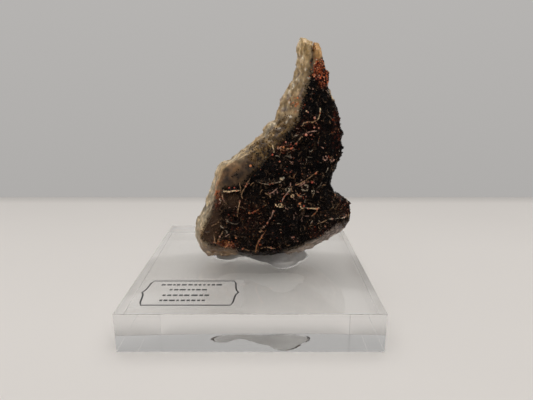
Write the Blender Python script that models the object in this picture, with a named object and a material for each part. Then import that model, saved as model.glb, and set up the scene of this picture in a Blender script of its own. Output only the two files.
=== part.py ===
"""A descloizite pseudomorph: a crusted slab of rock glued upright on a clear acrylic block.

Run it with blender --background --python part.py. Blender's units are metres, and every
length below is in millimetres until MM turns it into metres. The origin is the centre of
the block's underside, +Z is up, +X is to the viewer's right, and the crusted face of the
specimen looks along -Y.
"""

import math
import random

import bmesh
import bpy
from mathutils import Vector, noise
from mathutils.bvhtree import BVHTree
from mathutils.geometry import delaunay_2d_cdt

MM = 0.001

# The block: a 3 inch square sawn from half inch acrylic sheet, which measures 12 mm
BLOCK_SIDE = 76.2
BLOCK_THICKNESS = 12.0
BLOCK_EDGE = 0.35

# The label: a strip of clear 18 mm tape near the block's front left corner
LABEL_CENTRE = (-18.8, -25.9)
LABEL_SIZE = (33.0, 18.0)
LABEL_CORNER = 1.2
LABEL_THICKNESS = 0.15
LABEL_GAP = 0.1

# Touching pieces keep this gap
GAP = 0.3

# The slab of rock. Its front face leans back towards the tip and has a shallow dish.
FACE_FOOT_Y = -6.2
FACE_FOOT_Z = 17.0
FACE_LEAN = 0.032
DISH_CENTRE = (20.0, 44.0)
DISH_RADIUS = 11.0
DISH_DEPTH = 1.6
BACK_FOOT_Y = 8.2
BACK_LEAN = -0.062
BACK_SHRINK = 0.13
SIDE_SHRINK = 0.03
SIDE_STEP = 1.7
CHIP = 0.28
BACK_RELIEF = 0.9
FRONT_POINTS = 2.4
FLANK_RELIEF = 1.3
FLANK_RISE = 4.5
FLANK_CLEARANCE = 1.4
BACK_POINTS = 2.3
SPINE = [(2.0, 25.0), (12.0, 45.0), (18.0, 68.0), (18.3, 84.0)]

# The slab's outline, clockwise from the tip as seen from the front. Each row is a point of
# the widest outline, then the point of the front face's own edge beside it: x, z, x, z.
OUTLINE = [
    (15.3, 87.9, 16.3, 85.8),
    (17.1, 87.4, 17.2, 85.4),
    (18.4, 86.6, 18.0, 84.6),
    (19.1, 85.4, 18.8, 83.0),
    (19.6, 86.6, 19.6, 84.3),
    (20.9, 85.9, 20.6, 83.9),
    (22.2, 83.3, 21.5, 82.1),
    (22.8, 80.6, 22.0, 80.2),
    (23.6, 78.5, 22.7, 78.1),
    (24.8, 77.1, 23.9, 76.6),
    (24.6, 74.9, 23.8, 74.6),
    (24.2, 72.8, 23.4, 72.6),
    (25.4, 70.4, 24.5, 70.0),
    (26.7, 67.9, 25.8, 67.5),
    (28.3, 64.8, 27.4, 64.4),
    (28.8, 60.0, 27.9, 59.8),
    (29.9, 57.9, 29.0, 57.6),
    (29.5, 55.4, 28.6, 55.4),
    (30.2, 52.9, 29.3, 52.9),
    (29.6, 50.5, 28.7, 50.4),
    (28.4, 47.4, 27.5, 47.2),
    (27.2, 44.4, 26.3, 44.3),
    (26.5, 40.4, 25.6, 40.6),
    (27.8, 38.0, 26.9, 37.5),
    (29.6, 34.7, 29.0, 33.8),
    (32.4, 34.2, 31.7, 33.2),
    (33.7, 31.3, 32.7, 30.8),
    (33.6, 27.6, 32.4, 28.6),
    (32.7, 24.4, 30.6, 27.4),
    (30.6, 22.3, 28.4, 26.0),
    (26.3, 19.6, 24.4, 23.4),
    (21.6, 16.7, 20.0, 21.5),
    (17.0, 14.7, 15.4, 19.2),
    (12.0, 13.7, 11.2, 17.6),
    (6.7, 13.3, 6.4, 17.0),
    (2.0, 13.8, 2.0, 16.8),
    (-2.0, 13.3, -1.8, 17.3),
    (-7.0, 13.8, -6.4, 18.2),
    (-12.0, 13.5, -10.8, 18.8),
    (-16.4, 13.2, -14.5, 19.4),
    (-18.7, 14.8, -16.8, 20.6),
    (-20.1, 19.4, -17.9, 22.6),
    (-21.0, 23.6, -17.4, 25.0),
    (-19.9, 27.0, -16.0, 27.8),
    (-17.8, 31.0, -14.7, 31.1),
    (-16.0, 35.4, -13.2, 35.0),
    (-14.4, 39.6, -12.0, 39.6),
    (-13.2, 43.9, -10.7, 44.0),
    (-12.4, 46.4, -9.7, 46.2),
    (-10.9, 47.9, -8.2, 47.6),
    (-8.5, 48.4, -6.4, 48.7),
    (-4.6, 51.7, -3.2, 50.4),
    (-0.6, 54.5, 0.6, 52.2),
    (3.0, 57.4, 4.0, 53.9),
    (5.1, 60.6, 7.0, 55.8),
    (7.5, 61.5, 9.9, 58.0),
    (8.1, 64.6, 12.2, 60.9),
    (8.9, 67.6, 14.2, 64.0),
    (10.8, 71.2, 15.3, 67.8),
    (12.6, 74.8, 15.9, 71.4),
    (14.4, 78.2, 16.3, 75.0),
    (14.7, 81.6, 16.4, 79.0),
    (14.7, 84.9, 16.2, 82.8),
]

# The dark crust's own outline on the front face, clockwise from its top: x, z
CRUST_OUTLINE = [
    (20.3, 80.6),
    (22.2, 79.0),
    (24.0, 77.1),
    (23.8, 74.3),
    (23.5, 71.9),
    (24.9, 69.6),
    (26.6, 66.2),
    (28.0, 63.0),
    (28.2, 60.0),
    (29.1, 58.4),
    (28.6, 55.6),
    (29.3, 53.6),
    (28.8, 51.0),
    (27.5, 47.8),
    (26.4, 44.8),
    (25.7, 41.4),
    (27.6, 38.2),
    (28.9, 35.6),
    (31.9, 35.0),
    (32.8, 32.8),
    (32.8, 29.9),
    (28.9, 27.9),
    (26.1, 26.1),
    (24.1, 24.2),
    (21.5, 22.8),
    (18.7, 21.6),
    (15.4, 20.0),
    (11.1, 18.4),
    (5.8, 17.6),
    (0.9, 17.8),
    (-3.9, 18.6),
    (-9.4, 19.8),
    (-14.2, 20.5),
    (-16.9, 22.6),
    (-16.3, 25.4),
    (-15.0, 28.2),
    (-13.4, 31.8),
    (-12.0, 35.2),
    (-10.6, 38.4),
    (-7.2, 40.2),
    (-4.2, 41.0),
    (-1.6, 43.4),
    (1.6, 46.0),
    (4.4, 49.6),
    (7.4, 53.0),
    (10.2, 56.2),
    (13.0, 59.7),
    (15.1, 62.8),
    (16.0, 67.2),
    (16.8, 71.1),
    (18.3, 75.0),
]
CRUST_THICKNESS = 1.5
CRUST_EDGE = 0.5
CRUST_TAPER = 3.5
CRUST_RELIEF = 0.75
CRUST_POINTS = 2.3
ROOT_DEPTH = 0.6

# The larger plates, cast after wulfenite, as they are seen edge on: the ends of the edge,
# x, z, x, z, and how far the plate stands out of the crust
PLATES = [
    (-9.6, 39.6, -4.4, 39.8, 1.8),
    (-3.4, 39.0, -0.4, 44.2, 1.6),
    (-9.9, 38.0, -8.5, 35.4, 1.4),
    (1.2, 42.7, 8.7, 42.8, 2.0),
    (3.9, 39.3, 8.3, 41.1, 1.6),
    (-4.3, 36.0, -5.8, 30.7, 1.7),
    (-8.4, 30.1, -4.8, 28.8, 1.5),
    (-11.4, 29.5, -14.2, 28.0, 1.0),
    (-13.1, 24.4, -12.7, 21.6, 1.2),
    (-10.4, 23.9, -12.1, 21.6, 1.3),
    (-7.6, 23.0, -9.2, 20.4, 1.6),
    (4.3, 26.0, 1.4, 19.2, 2.0),
    (5.2, 29.2, 3.0, 27.0, 1.4),
    (-0.9, 32.5, 3.3, 34.9, 1.6),
    (5.4, 33.2, 6.6, 31.2, 1.4),
    (20.9, 66.6, 20.3, 62.8, 1.8),
    (15.4, 61.0, 19.5, 62.2, 1.8),
    (16.5, 58.1, 20.7, 59.1, 1.8),
    (12.8, 54.0, 16.0, 57.8, 1.9),
    (9.5, 54.1, 12.8, 54.3, 1.5),
    (15.3, 42.1, 21.2, 46.3, 2.2),
    (11.3, 46.1, 13.9, 45.6, 1.6),
    (10.4, 38.8, 12.0, 40.6, 1.4),
    (7.0, 35.6, 10.0, 34.8, 1.5),
    (14.8, 36.6, 16.3, 34.3, 1.7),
    (16.6, 34.2, 21.0, 34.4, 1.9),
    (22.3, 44.1, 25.4, 45.1, 1.4),
    (20.6, 39.5, 22.6, 41.2, 1.5),
    (26.0, 30.7, 31.0, 31.1, 1.6),
    (18.6, 31.4, 21.4, 33.0, 1.6),
    (23.8, 27.8, 25.3, 30.8, 1.4),
    (18.8, 27.8, 21.8, 28.3, 1.6),
    (9.9, 30.7, 12.2, 29.0, 1.5),
    (13.8, 29.5, 16.4, 31.0, 1.5),
]
PLATE_THICKNESS = 0.65
PLATE_LEAN = 0.22
PLATE_SEED = 4

# Blunt crystals of the crust: each is a stretched octahedron, sunk by half
CRYSTAL_SEED = 7
FACE_CRYSTALS = 64
EDGE_CRYSTALS = 38
CRYSTAL_SIZE = (0.8, 1.45)

# The glue's edge on the block: x, y, from its left end round the front
GLUE_EDGE = [
    (-15.0, 2.6),
    (-13.0, -0.2),
    (-9.6, -1.0),
    (-6.9, 1.2),
    (-4.0, 2.4),
    (-1.0, 0.2),
    (2.4, -2.6),
    (5.4, -4.2),
    (7.0, -7.0),
    (10.2, -8.4),
    (13.6, -7.2),
    (16.4, -3.4),
    (19.6, 1.4),
    (18.8, 5.4),
    (12.0, 7.4),
    (4.0, 6.6),
    (-4.0, 7.2),
    (-11.0, 6.6),
]
GLUE_STEP = 1.3
GLUE_BULGE = 3.6
GLUE_LIP = 0.25
GLUE_REACH = 0.7


def clear_scene():
    for old in list(bpy.data.objects):
        bpy.data.objects.remove(old, do_unlink=True)


def finish(name, colour, roughness, alpha=1.0, transmission=0.0):
    """A new material with one Principled BSDF."""
    material = bpy.data.materials.new(name)
    material.use_nodes = True
    shader = material.node_tree.nodes["Principled BSDF"]
    shader.inputs["Base Color"].default_value = (*colour, alpha)
    shader.inputs["Roughness"].default_value = roughness
    shader.inputs["Transmission Weight"].default_value = transmission
    shader.inputs["IOR"].default_value = 1.49
    return material


def add_object(name, mesh, material):
    made = bpy.data.objects.new(name, mesh)
    made.data.materials.append(material)
    bpy.context.scene.collection.objects.link(made)
    return made


def mesh_from(name, points, faces):
    """A mesh from points in millimetres, with its faces turned to point out."""
    mesh = bpy.data.meshes.new(name)
    mesh.from_pydata([Vector(p) * MM for p in points], [], faces)
    shape = bmesh.new()
    shape.from_mesh(mesh)
    bmesh.ops.recalc_face_normals(shape, faces=shape.faces)
    bmesh.ops.triangulate(shape, faces=shape.faces)
    shape.to_mesh(mesh)
    shape.free()
    return mesh


def roughness_at(x, y, z, cell):
    """Smooth noise from -1 to 1 whose lumps are about cell millimetres across."""
    return noise.noise(Vector((x, y, z)) / cell)


def smooth_loop(points, step):
    """Points about step apart along a closed smooth curve through the given ones."""
    fine = []
    count = len(points)
    for i in range(count):
        before, start, end, after = (Vector(points[(i + k) % count]) for k in (-1, 0, 1, 2))
        pieces = max(1, round((end - start).length / step))
        for k in range(pieces):
            t = k / pieces
            curve = (
                2 * start
                + (end - before) * t
                + (2 * before - 5 * start + 4 * end - after) * t**2
                + (3 * start - before - 3 * end + after) * t**3
            )
            fine.append(tuple(curve / 2))
    return fine


def edge_distance(point, loop):
    """How far a point of the plane is from the nearest side of a closed loop."""
    nearest = math.inf
    for i, start in enumerate(loop):
        a, b = Vector(start), Vector(loop[(i + 1) % len(loop)])
        side = b - a
        t = max(0.0, min(1.0, (Vector(point) - a).dot(side) / max(side.length_squared, 1e-9)))
        nearest = min(nearest, (Vector(point) - a - side * t).length)
    return nearest


def is_inside(point, loop):
    x, z = point
    inside = False
    for i, (ax, az) in enumerate(loop):
        bx, bz = loop[(i + 1) % len(loop)]
        if (az > z) != (bz > z) and x < ax + (z - az) / (bz - az) * (bx - ax):
            inside = not inside
    return inside


def filled(loop, spacing, seed):
    """The loop's own points, then jittered points inside it, and triangles over them all."""
    scatter = random.Random(seed)
    xs, zs = [p[0] for p in loop], [p[1] for p in loop]
    inner = []
    row_height = spacing * math.sqrt(3) / 2
    for row in range(int((max(zs) - min(zs)) / row_height) + 1):
        for column in range(int((max(xs) - min(xs)) / spacing) + 2):
            x = min(xs) + (column + 0.5 * (row % 2)) * spacing
            z = min(zs) + row * row_height
            x += scatter.uniform(-0.25, 0.25) * spacing
            z += scatter.uniform(-0.25, 0.25) * spacing
            if is_inside((x, z), loop) and edge_distance((x, z), loop) > 0.55 * spacing:
                inner.append((x, z))
    points = list(loop) + inner
    sides = [(i, (i + 1) % len(loop)) for i in range(len(loop))]
    found = delaunay_2d_cdt([Vector(p) for p in points], sides, [], 1, 1e-6)
    used, triangles, sources = found[0], found[2], found[3]
    if len(used) != len(points):
        raise ValueError("the outline crosses itself")
    return points, [[sources[i][0] for i in triangle] for triangle in triangles]


def face_y(x, z):
    """The depth of the slab's front face, on which the crust lies."""
    reach = math.hypot(x - DISH_CENTRE[0], z - DISH_CENTRE[1]) / DISH_RADIUS
    return FACE_FOOT_Y + FACE_LEAN * (z - FACE_FOOT_Z) + DISH_DEPTH * math.exp(-reach * reach)


def back_y(z):
    return BACK_FOOT_Y + BACK_LEAN * (z - FACE_FOOT_Z)


def towards_spine(x, z, share):
    """The point moved by this share of its distance to the slab's middle line."""
    nearest = None
    for start, end in zip(SPINE, SPINE[1:]):
        a, b = Vector(start), Vector(end)
        t = max(0.0, min(1.0, (Vector((x, z)) - a).dot(b - a) / (b - a).length_squared))
        middle = a + (b - a) * t
        if nearest is None or (middle - Vector((x, z))).length < (nearest - Vector((x, z))).length:
            nearest = middle
    return Vector((x, z)).lerp(nearest, share)


def chipped(point):
    """The point shifted a little, as broken rock is never straight."""
    x, y, z = point
    shift = [roughness_at(x + offset, y, z, 2.6) for offset in (0, 40, 80)]
    return Vector(point) + Vector(shift) * CHIP


def matrix_rings():
    """Closed rings of the slab from its front edge, round the side, to its back edge."""
    rings = [[] for _ in range(5)]
    for i, row in enumerate(OUTLINE):
        following = OUTLINE[(i + 1) % len(OUTLINE)]
        length = math.hypot(following[0] - row[0], following[1] - row[1])
        pieces = max(1, round(length / SIDE_STEP))
        for k in range(pieces):
            rim_x, rim_z, edge_x, edge_z = (
                a + (b - a) * k / pieces for a, b in zip(row, following)
            )
            front = face_y(edge_x, edge_z)
            side = towards_spine(rim_x, rim_z, SIDE_SHRINK)
            back = towards_spine(rim_x, rim_z, BACK_SHRINK)
            rings[0].append(Vector((edge_x, front, edge_z)))
            bevel = ((rim_x + edge_x) / 2, front * 0.55, (rim_z + edge_z) / 2)
            rings[1].append(chipped(bevel))
            rings[2].append(chipped((rim_x, 0.0, rim_z)))
            rings[3].append(chipped((side.x, back_y(rim_z) * 0.6, side.y)))
            rings[4].append(Vector((back.x, back_y(rim_z), back.y)))
    return rings


def flank_bulge(x, z, crust_loop, edge_loop):
    """How far the bare rock beside the crust swells out of the slab's plane face."""
    if is_inside((x, z), crust_loop):
        return 0.0
    clear = edge_distance((x, z), crust_loop) - FLANK_CLEARANCE
    rise = max(0.0, min(1.0, clear / FLANK_RISE, edge_distance((x, z), edge_loop) / FLANK_RISE))
    return FLANK_RELIEF * math.sin(rise * math.pi / 2) * (1 + roughness_at(x, 70, z, 4.5))


def matrix_mesh(crust_loop):
    rings = matrix_rings()
    count = len(rings[0])
    points = [p for ring in rings for p in ring]
    faces = []
    for level in range(len(rings) - 1):
        low, high = level * count, (level + 1) * count
        for i in range(count):
            j = (i + 1) % count
            faces.append((low + i, low + j, high + j, high + i))
    edge_loop = [(p.x, p.z) for p in rings[0]]
    front_points, front = filled(edge_loop, FRONT_POINTS, 1)
    front_index = list(range(count)) + list(
        range(len(points), len(points) + len(front_points) - count)
    )
    for x, z in front_points[count:]:
        points.append((x, face_y(x, z) - flank_bulge(x, z, crust_loop, edge_loop), z))
    faces += [tuple(front_index[i] for i in triangle) for triangle in front]
    back_points, back = filled([(p.x, p.z) for p in rings[4]], BACK_POINTS, 2)
    back_index = list(range(4 * count, 5 * count)) + list(
        range(len(points), len(points) + len(back_points) - count)
    )
    for x, z in back_points[count:]:
        relief = roughness_at(x, 0, z, 9.0) + 0.5 * roughness_at(x, 50, z, 3.5)
        points.append((x, back_y(z) + BACK_RELIEF * relief, z))
    faces += [tuple(back_index[i] for i in triangle) for triangle in back]
    return mesh_from("matrix", points, faces)


def crust_height(x, z, loop):
    """How far the crust stands out of the slab's face: it thins towards its edge."""
    rise = min(1.0, edge_distance((x, z), loop) / CRUST_TAPER)
    lumps = roughness_at(x, 11, z, 5.5) + 0.7 * roughness_at(x, 23, z, 2.4)
    return CRUST_EDGE + rise * (CRUST_THICKNESS + CRUST_RELIEF * lumps)


def crust_mesh(loop):
    """The crust's sheet: the same triangles in front and behind, joined round the edge."""
    plan, triangles = filled(loop, CRUST_POINTS, 3)
    under = [(x, face_y(x, z) - GAP, z) for x, z in plan]
    over = [(x, face_y(x, z) - GAP - crust_height(x, z, loop), z) for x, z in plan]
    faces = [tuple(t) for t in triangles]
    faces += [tuple(i + len(plan) for i in t) for t in triangles]
    for i in range(len(loop)):
        j = (i + 1) % len(loop)
        faces.append((i, j, j + len(plan), i + len(plan)))
    return mesh_from("descloizite_crust", under + over, faces)


def placed(points, middle, axes):
    """Local points carried to the three axes given, and moved to middle."""
    along, out, across = axes
    return [middle + along * p[0] + out * p[1] + across * p[2] for p in points]


def seated(points):
    """The points brought forward until none is behind the crust's back."""
    sunk = max(p.y - face_y(p.x, p.z) + GAP for p in points)
    return [p - Vector((0, max(0.0, sunk), 0)) for p in points]


def plate_mesh(index, row, tilt, loop):
    """A thin tabular crystal on edge, with its outer corners cut."""
    ax, az, bx, bz, reach = row
    middle = Vector(((ax + bx) / 2, 0, (az + bz) / 2))
    middle.y = face_y(middle.x, middle.z) - GAP - crust_height(middle.x, middle.z, loop)
    along = Vector((bx - ax, 0, bz - az))
    half = along.length / 2
    along.normalize()
    out = Vector((0, -1, 0))
    across = along.cross(out)
    out = (out + across * tilt).normalized()
    across = along.cross(out)
    cut = min(0.7, half * 0.4)
    profile = [
        (-half, -ROOT_DEPTH),
        (half, -ROOT_DEPTH),
        (half, reach - cut),
        (half - cut, reach),
        (cut - half, reach),
        (-half, reach - cut),
    ]
    thick = PLATE_THICKNESS / 2
    corners = [(a, b, side) for side in (-thick, thick) for a, b in profile]
    size = len(profile)
    faces = [tuple(range(size)), tuple(range(size, 2 * size))]
    faces += [(i, (i + 1) % size, (i + 1) % size + size, i + size) for i in range(size)]
    return mesh_from(f"plate_{index}", seated(placed(corners, middle, (along, out, across))), faces)


def crystal_mesh(index, middle, size, scatter):
    """A stretched octahedron, turned at random."""
    turn = Vector([scatter.uniform(-1, 1) for _ in range(3)]).normalized()
    along = turn.orthogonal().normalized()
    axes = (along, turn, along.cross(turn))
    stretch = scatter.uniform(1.0, 1.5)
    tips = [(1, 0, 0), (-1, 0, 0), (0, stretch, 0), (0, -stretch, 0), (0, 0, 1), (0, 0, -1)]
    points = placed([tuple(c * size / 2 for c in tip) for tip in tips], middle, axes)
    faces = [(a, b, c) for a in (0, 1) for b in (2, 3) for c in (4, 5)]
    return mesh_from(f"crystal_{index}", seated(points), faces)


def crystal_spots(loop, scatter):
    """Middles of the crust's blunt crystals, over its face and then along its edge."""
    xs, zs = [p[0] for p in loop], [p[1] for p in loop]
    spots = []
    while len(spots) < FACE_CRYSTALS:
        x, z = scatter.uniform(min(xs), max(xs)), scatter.uniform(min(zs), max(zs))
        if is_inside((x, z), loop) and edge_distance((x, z), loop) > 1.0:
            spots.append(Vector((x, face_y(x, z) - GAP - crust_height(x, z, loop), z)))
    rim = [p for p in loop if p[0] > 22 or p[1] < 21]
    for _ in range(EDGE_CRYSTALS):
        x, z = scatter.choice(rim)
        spots.append(Vector((x, face_y(x, z) - GAP - CRUST_EDGE, z)))
    return spots


def hidden_tool(mesh, collection):
    """A shape that only a Boolean uses."""
    tool = bpy.data.objects.new(mesh.name, mesh)
    tool.hide_render = True
    tool.display_type = "WIRE"
    collection.objects.link(tool)


def build_crust(loop):
    """The crust with its plates and blunt crystals joined into one solid."""
    dark = finish("descloizite", (0.022, 0.014, 0.011), 0.42)
    crust = add_object("descloizite_crust", crust_mesh(loop), dark)
    grown = bpy.data.collections.new("grown_on_crust")
    grown.hide_render = True
    bpy.context.scene.collection.children.link(grown)
    lean = random.Random(PLATE_SEED)
    for i, row in enumerate(PLATES):
        hidden_tool(plate_mesh(i, row, lean.uniform(-PLATE_LEAN, PLATE_LEAN), loop), grown)
    scatter = random.Random(CRYSTAL_SEED)
    for i, middle in enumerate(crystal_spots(loop, scatter)):
        size = scatter.uniform(*CRYSTAL_SIZE)
        hidden_tool(crystal_mesh(i, middle, size, scatter), grown)
    union = crust.modifiers.new("grown together", "BOOLEAN")
    union.operation = "UNION"
    union.operand_type = "COLLECTION"
    union.collection = grown
    union.solver = "EXACT"


def build_matrix(crust_loop):
    rock = finish("quartz_matrix", (0.30, 0.25, 0.18), 0.5)
    return add_object("matrix", matrix_mesh(crust_loop), rock)


def build_block():
    """The acrylic block with its edges just broken."""
    clear = finish("acrylic", (0.97, 0.98, 0.98), 0.02, 1.0, 1.0)
    shape = bmesh.new()
    bmesh.ops.create_cube(shape, size=1.0)
    size = Vector((BLOCK_SIDE, BLOCK_SIDE, BLOCK_THICKNESS)) * MM
    bmesh.ops.scale(shape, vec=size, verts=shape.verts)
    bmesh.ops.translate(shape, vec=(0, 0, size.z / 2), verts=shape.verts)
    mesh = bpy.data.meshes.new("acrylic_block")
    shape.to_mesh(mesh)
    shape.free()
    block = add_object("acrylic_block", mesh, clear)
    broken = block.modifiers.new("broken edges", "BEVEL")
    broken.width = BLOCK_EDGE * MM
    broken.segments = 2
    return block


def build_label():
    """A thin strip with round corners, lying on the block."""
    film = finish("label_film", (0.85, 0.85, 0.83), 0.25)
    half_x, half_y = (s / 2 - LABEL_CORNER for s in LABEL_SIZE)
    outline = []
    for corner, (sx, sy) in enumerate(((1, 1), (-1, 1), (-1, -1), (1, -1))):
        for k in range(5):
            angle = math.radians(90 * corner + 22.5 * k)
            x = LABEL_CENTRE[0] + sx * half_x + LABEL_CORNER * math.cos(angle)
            y = LABEL_CENTRE[1] + sy * half_y + LABEL_CORNER * math.sin(angle)
            outline.append((x, y))
    low = BLOCK_THICKNESS + LABEL_GAP
    points = [(x, y, z) for z in (low, low + LABEL_THICKNESS) for x, y in outline]
    count = len(outline)
    faces = [tuple(range(count)), tuple(range(count, 2 * count))]
    faces += [(i, (i + 1) % count, (i + 1) % count + count, i + count) for i in range(count)]
    return add_object("label", mesh_from("label", points, faces), film)


def rock_above(tree, x, y):
    """The height of the lowest rock over and close round a point of the block."""
    lowest = math.inf
    for dx in (-GLUE_REACH, 0, GLUE_REACH):
        for dy in (-GLUE_REACH, 0, GLUE_REACH):
            start = Vector((x + dx, y + dy, BLOCK_THICKNESS)) * MM
            hit = tree.ray_cast(start, Vector((0, 0, 1)))[0]
            if hit is not None:
                lowest = min(lowest, hit.z / MM)
    return lowest


def build_glue(matrix):
    """The clear glue: it bulges up from its edge on the block until it meets the rock."""
    clear = finish("glue", (0.93, 0.93, 0.91), 0.08, 1.0, 1.0)
    tree = BVHTree.FromPolygons(
        [v.co for v in matrix.data.vertices], [p.vertices for p in matrix.data.polygons]
    )
    loop = smooth_loop(GLUE_EDGE, GLUE_STEP)
    plan, triangles = filled(loop, GLUE_STEP, 5)
    low = BLOCK_THICKNESS + GAP
    top = []
    for i, (x, y) in enumerate(plan):
        depth = 0.0 if i < len(loop) else min(GLUE_BULGE, edge_distance((x, y), loop))
        rise = GLUE_LIP + math.sqrt(GLUE_BULGE**2 - (GLUE_BULGE - depth) ** 2)
        top.append((x, y, min(low + rise, rock_above(tree, x, y) - GAP)))
    bottom = [(x, y, low) for x, y in loop]
    faces = [tuple(t) for t in triangles]
    count = len(loop)
    faces.append(tuple(range(len(top), len(top) + count)))
    faces += [(i, (i + 1) % count, (i + 1) % count + len(top), i + len(top)) for i in range(count)]
    glue = add_object("glue", mesh_from("glue", top + bottom, faces), clear)
    glue.data.shade_smooth()
    return glue


def main():
    clear_scene()
    build_block()
    build_label()
    crust_loop = smooth_loop(CRUST_OUTLINE, CRUST_POINTS)
    matrix = build_matrix(crust_loop)
    build_crust(crust_loop)
    build_glue(matrix)


main()
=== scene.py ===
import math
import random

import bmesh
import bpy
import numpy as np
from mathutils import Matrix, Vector, noise
from mathutils.bvhtree import BVHTree


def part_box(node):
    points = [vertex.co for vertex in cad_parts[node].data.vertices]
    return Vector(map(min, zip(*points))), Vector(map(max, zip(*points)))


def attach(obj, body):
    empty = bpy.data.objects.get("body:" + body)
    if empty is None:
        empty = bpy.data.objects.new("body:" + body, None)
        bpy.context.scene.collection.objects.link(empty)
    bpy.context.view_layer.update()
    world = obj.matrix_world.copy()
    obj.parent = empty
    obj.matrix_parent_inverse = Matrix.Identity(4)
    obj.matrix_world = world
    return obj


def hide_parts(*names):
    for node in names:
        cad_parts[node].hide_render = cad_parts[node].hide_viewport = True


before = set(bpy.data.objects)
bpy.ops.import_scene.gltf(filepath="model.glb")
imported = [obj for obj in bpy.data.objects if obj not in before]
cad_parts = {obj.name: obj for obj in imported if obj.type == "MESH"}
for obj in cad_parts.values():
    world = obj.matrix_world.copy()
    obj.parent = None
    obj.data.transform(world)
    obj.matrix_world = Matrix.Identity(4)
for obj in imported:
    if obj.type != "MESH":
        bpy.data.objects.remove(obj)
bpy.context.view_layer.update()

MM = 0.001
BODY = "root"

# Colours are linear red, green and blue
QUARTZ_GREY = (0.42, 0.325, 0.20)
QUARTZ_PALE = (0.73, 0.59, 0.39)
QUARTZ_BLUE = (0.27, 0.255, 0.205)
QUARTZ_TAN = (0.50, 0.32, 0.14)
QUARTZ_GOLD = (0.58, 0.365, 0.125)
QUARTZ_PINK = (0.30, 0.225, 0.185)
OLIVE_BROWN = (0.100, 0.052, 0.015)
OLIVE_PALE = (0.30, 0.185, 0.065)
OLIVE_DARK = (0.045, 0.028, 0.012)
SMOKY_BROWN = (0.225, 0.113, 0.042)
SMOKY_DARK = (0.068, 0.036, 0.016)
IRON_RED = (0.36, 0.065, 0.022)
IRON_ORANGE = (0.52, 0.15, 0.03)
CRUST_BLACK = (0.0026, 0.0021, 0.0022)
CRUST_BROWN = (0.050, 0.028, 0.017)
CRUST_RED = (0.15, 0.030, 0.017)
# Edges of plates, and beads
CREAM = (0.80, 0.60, 0.36)
TAN = (0.50, 0.30, 0.16)
PINK = (0.58, 0.34, 0.26)
GREY = (0.50, 0.41, 0.30)
ORANGE = (0.62, 0.26, 0.10)
WHITE = (0.88, 0.78, 0.62)
BEAD_RED = (0.60, 0.11, 0.06)
SALMON = (0.75, 0.30, 0.20)
BEAD_ORANGE = (0.72, 0.25, 0.08)

# The slab's plane face, as in the CAD, in mm
FACE_FOOT_Y = -6.2
FACE_FOOT_Z = 17.0
FACE_LEAN = 0.032
DISH_CENTRE = (20.0, 44.0)
DISH_RADIUS = 11.0
DISH_DEPTH = 1.6

# Sizes and spacings in mm of the remeshed grids and of the small crystals, plates and beads
MATRIX_VOXEL = 0.36
CRUST_VOXEL = 0.29
CRUST_SPACING = 0.42
RIM_SPACING = 0.44
OLIVE_SPACING = 0.60
SMALL_PLATE_SPACING = 1.9
SMALL_BEAD_SPACING = 2.6
CRYSTAL_SIZES = (0.26, 0.56)
OLIVE_SIZES = (0.3, 0.6)
# How far apart a plate's cuts lie, and how deep its root goes
PLATE_STEP = 0.26
PLATE_ROOT = 1.4
# Crust further away than this leaves the rock's colour alone
FAR_FROM_CRUST = 6.0
TO_VIEWER = Vector((0, -1, 0))

# Soft spots on the face: strength, x and z of the middle, and how far they reach in x and in z
SMOKY_SPOTS = [(1.0, -5.6, 43.6, 7.5, 4.8), (1.0, -1.2, 46.2, 3.8, 4.2)]
OLIVE_SPOTS = [(1.0, 3.6, 51.0, 5.0, 5.2), (1.0, 11.0, 57.8, 5.5, 5.0)]
THIN_SPOTS = [(1.0, -15.0, 28.5, 3.6, 8.0), (0.9, -8.2, 36.4, 3.6, 2.4)]
RED_SPOTS = [
    (1.00, 20.6, 79.0, 1.9, 3.6),
    (0.80, 22.4, 75.2, 2.0, 2.8),
    (0.34, 27.2, 61.0, 1.6, 8.0),
    (0.26, 31.0, 33.5, 2.6, 3.0),
    (0.90, -9.4, 20.6, 3.8, 1.7),
    (0.75, -12.4, 37.4, 1.5, 4.0),
    (0.22, 18.0, 60.0, 5.0, 3.0),
    (0.22, 10.0, 53.5, 4.0, 2.0),
    (0.28, 24.0, 24.5, 5.0, 2.0),
    (0.16, -1.0, 30.0, 7.0, 7.0),
]
BROWN_SPOTS = [
    (0.70, -12.0, 28.0, 5.0, 8.0),
    (0.60, -6.0, 36.0, 5.0, 4.0),
    (0.60, 29.0, 31.0, 5.0, 4.5),
    (0.60, 8.5, 52.0, 4.0, 4.5),
    (0.40, 16.5, 66.0, 1.6, 5.0),
    (0.55, 24.5, 72.5, 2.0, 3.0),
    (0.25, 14.0, 38.0, 8.0, 7.0),
    (0.40, -2.0, 29.0, 9.0, 9.0),
]
PALE_SPOTS = [
    (0.62, 14.5, 39.5, 7.5, 6.5),
    (0.75, 13.0, 54.5, 7.0, 5.0),
    (0.70, 24.5, 50.0, 2.5, 5.0),
    (0.60, 5.0, 41.0, 5.0, 4.0),
    (0.35, -10.0, 23.0, 5.0, 4.0),
    (0.45, 20.0, 31.0, 7.0, 3.0),
    (0.45, -9.0, 36.0, 4.0, 4.0),
    (0.60, 30.0, 34.5, 3.5, 3.5),
]

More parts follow.
